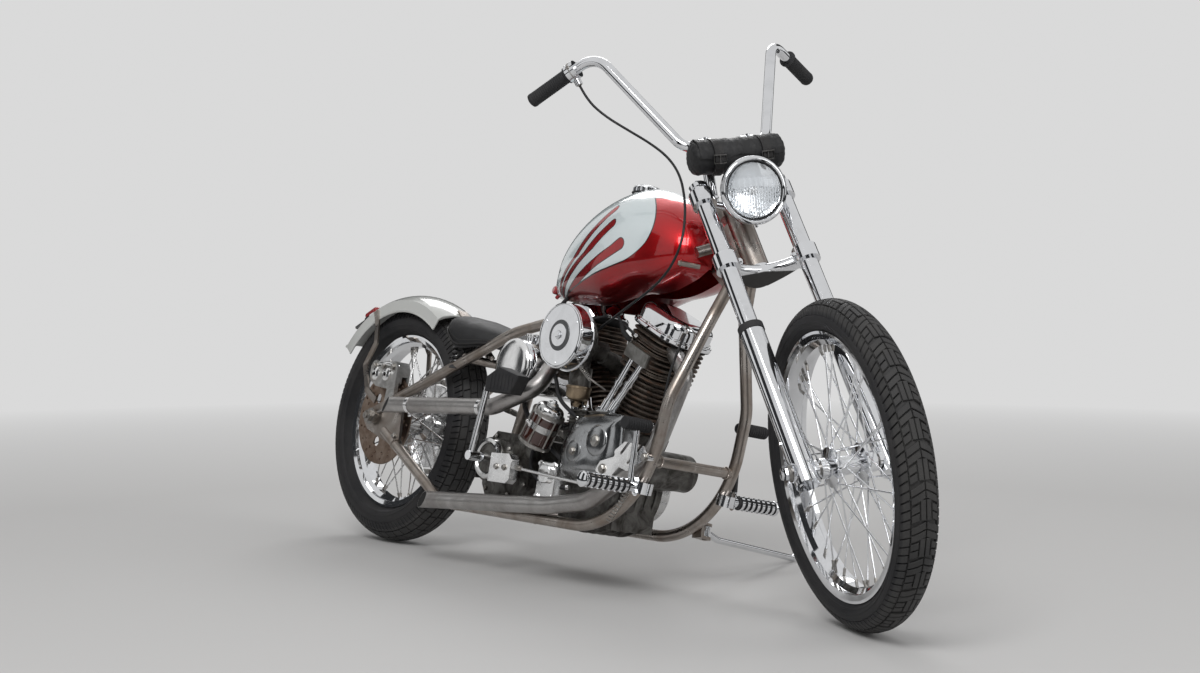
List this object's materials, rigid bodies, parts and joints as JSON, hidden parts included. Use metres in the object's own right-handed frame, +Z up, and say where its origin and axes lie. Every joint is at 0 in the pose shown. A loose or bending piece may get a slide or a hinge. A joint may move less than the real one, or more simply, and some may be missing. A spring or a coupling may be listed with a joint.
{
  "type": "chopper motorcycle",
  "caption": "Rigid-frame chopper motorcycle with a V-twin engine, long raked fork, high handlebar, small round-backed tank and drum oil tank, parked leaning on its side stand.",
  "frame": {"origin": "middle of the footprint of the whole motorcycle as it stands, on the ground", "axes": "+X forward along the frame, +Y to the rider's left, +Z up; the machine leans to +Y on its side stand with the front wheel turned to the right"},
  "size_m": [2.3175, 0.892, 1.3088],
  "materials": {
    "tyre_black": "matte black tread rubber",
    "chrome": "bright chrome plate",
    "polished_alloy": "polished aluminium",
    "cast_alloy": "as-cast aluminium, oiled and dusty",
    "raw_steel": "bare brownish satin steel tube under clear coat",
    "bright_steel": "plain steel, oiled",
    "disc_steel": "brake disc steel, heat browned",
    "exhaust_steel": "satin exhaust tube",
    "candy_red": "candy red flake with pale panels and stripes",
    "pale_silver": "pale silver paint",
    "black_paint": "satin black paint",
    "barrel_iron": "dark rusty cast iron",
    "black_leather": "black grained leather",
    "black_rubber": "black moulded rubber",
    "cable_sheath": "black cable sheath",
    "lamp_glass": "clear fluted lamp glass",
    "red_lens": "dark red lamp lens"
  },
  "bodies": {
    "frame": {"steering_head": "raw_steel", "backbone": "raw_steel", "down_tubes": "raw_steel", "lower_rails": "raw_steel", "upper_stays": "raw_steel", "axle_plates": "raw_steel", "cross_members": "raw_steel", "rear_axle": "bright_steel", "fuel_tank": "candy_red", "fuel_cap": "chrome", "rear_fender": "pale_silver", "seat": "black_leather", "fender_struts": "raw_steel", "plate_holder": "black_paint", "tail_lamp": "red_lens", "crankcase": "cast_alloy", "cylinders": "barrel_iron", "rocker_covers": "chrome", "timing_cover": "polished_alloy", "pushrod_tubes": "chrome", "carburettor": "cast_alloy", "air_cleaner": "chrome", "gearbox": "cast_alloy", "kick_starter": "chrome", "primary_cover": "polished_alloy", "chain": "bright_steel", "upper_exhaust": "exhaust_steel", "lower_exhaust": "exhaust_steel", "oil_tank": "chrome", "side_canister": "polished_alloy", "right_foot_control": "chrome", "left_foot_control": "chrome", "brake_linkage": "polished_alloy", "brake_caliper": "cast_alloy", "side_shield": "chrome", "throttle_cable": "cable_sheath", "stand_bracket": "raw_steel"},
    "fork": {"front_axle": "bright_steel", "fork_sliders": "chrome", "fork_tubes": "chrome", "fork_seals": "black_rubber", "lower_clamp": "chrome", "upper_clamp": "chrome", "handlebar": "chrome", "hand_grips": "black_rubber", "headlamp": "chrome", "headlamp_lens": "lamp_glass", "tool_bag": "black_leather"},
    "side_stand": {"side_stand": "chrome"},
    "front_wheel": {"front_tyre": "tyre_black", "front_rim": "chrome", "front_hub": "chrome"},
    "rear_wheel": {"rear_tyre": "tyre_black", "rear_rim": "chrome", "rear_hub": "chrome", "brake_disc": "disc_steel"}
  },
  "joints": [
    {"name": "steering", "type": "hinge", "parent": "frame", "child": "fork", "pos_m": [0.79425, -0.13907, 0.30826], "axis": [-0.5857, 0.1549, 0.7956], "range_deg": [-1.54, 58.46], "deforming": ["throttle_cable"]},
    {"name": "front_wheel_spin", "type": "hinge", "parent": "fork", "child": "front_wheel", "pos_m": [0.837, -0.16124, 0.34405], "axis": [0.3864, 0.9162, 0.1061], "continuous": true},
    {"name": "rear_wheel_spin", "type": "hinge", "parent": "frame", "child": "rear_wheel", "pos_m": [-0.82681, -0.13485, 0.32841], "axis": [0.0002, 0.9816, -0.191], "continuous": true},
    {"name": "side_stand_fold", "type": "hinge", "parent": "frame", "child": "side_stand", "pos_m": [0.24539, -0.00317, 0.12654], "axis": [-0.1429, 0.2834, 0.9483], "range_deg": [0, 72]}
  ]
}
